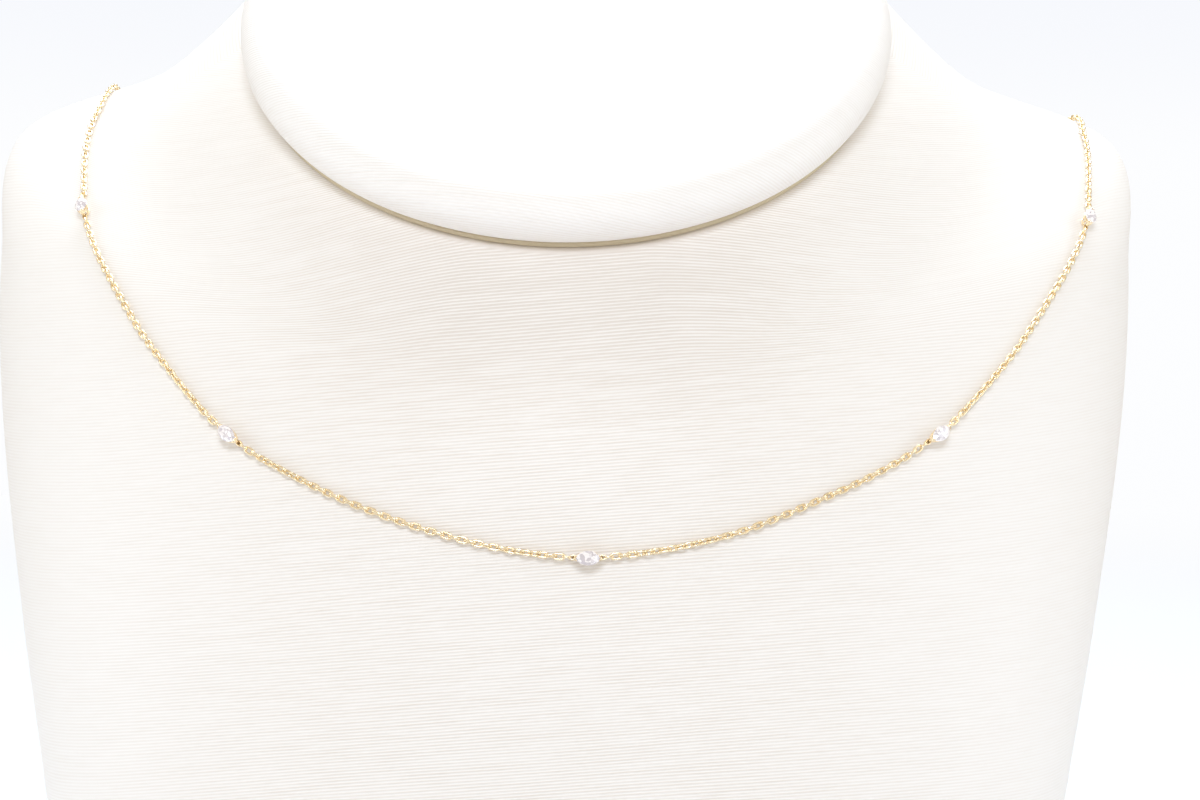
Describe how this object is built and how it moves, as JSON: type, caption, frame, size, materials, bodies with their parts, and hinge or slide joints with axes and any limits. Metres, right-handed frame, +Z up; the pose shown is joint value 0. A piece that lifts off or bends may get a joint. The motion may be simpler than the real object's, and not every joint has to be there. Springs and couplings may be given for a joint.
{
  "type": "station necklace on a neck bust",
  "caption": "Fine cable-chain necklace with marquise stone stations and a ring clasp, worn by a flat-backed neck bust with a slanted padded cap.",
  "frame": {"origin": "on the flat foot of the bust, under its middle", "axes": "+Z up, the chest and the middle stone towards -Y, the flat back towards +Y, +X to the viewer's right as the chest is seen"},
  "size_m": [0.1684, 0.092, 0.195],
  "materials": {
    "bust_cover": "finely ribbed ivory leatherette, satin",
    "cap_cover": "finely ribbed ivory leatherette, satin",
    "gold": "polished yellow gold",
    "stone": "clear, facetted and polished"
  },
  "bodies": {
    "root": {"bust": "bust_cover", "neck_cap": "cap_cover", "clasp": "gold", "end_ring": "gold", "setting_1": "gold", "setting_2": "gold", "setting_3": "gold", "setting_4": "gold", "setting_5": "gold", "stone_1": "stone", "stone_2": "stone", "stone_3": "stone", "stone_4": "stone", "stone_5": "stone", "chain_1": "gold", "chain_2": "gold", "chain_3": "gold", "chain_4": "gold", "chain_5": "gold", "chain_6": "gold"}
  },
  "joints": []
}
